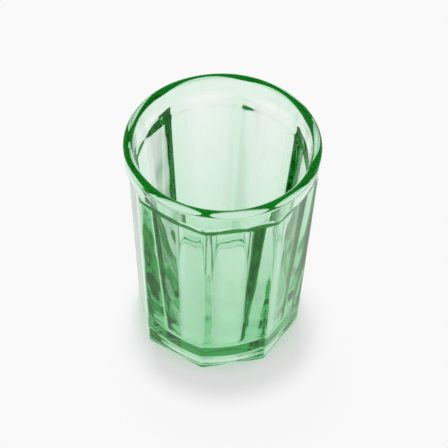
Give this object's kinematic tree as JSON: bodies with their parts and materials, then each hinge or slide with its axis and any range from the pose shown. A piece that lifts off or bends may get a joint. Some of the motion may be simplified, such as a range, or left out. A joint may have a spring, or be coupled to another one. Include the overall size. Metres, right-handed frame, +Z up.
{
  "type": "chai glass",
  "caption": "Faceted pressed-glass tumbler in green glass: tapered body with flat panels, scalloped shoulder, plain round collar and thick rounded rim, for hot tea.",
  "frame": {"origin": "middle of the foot on the table", "axes": "+Z up along the axis of the glass; two opposite panels face -Y and +Y, and two face -X and +X"},
  "size_m": [0.075, 0.075, 0.097],
  "materials": {
    "green_glass": "fire-polished clear green"
  },
  "bodies": {
    "root": {"tumbler": "green_glass"}
  },
  "joints": []
}
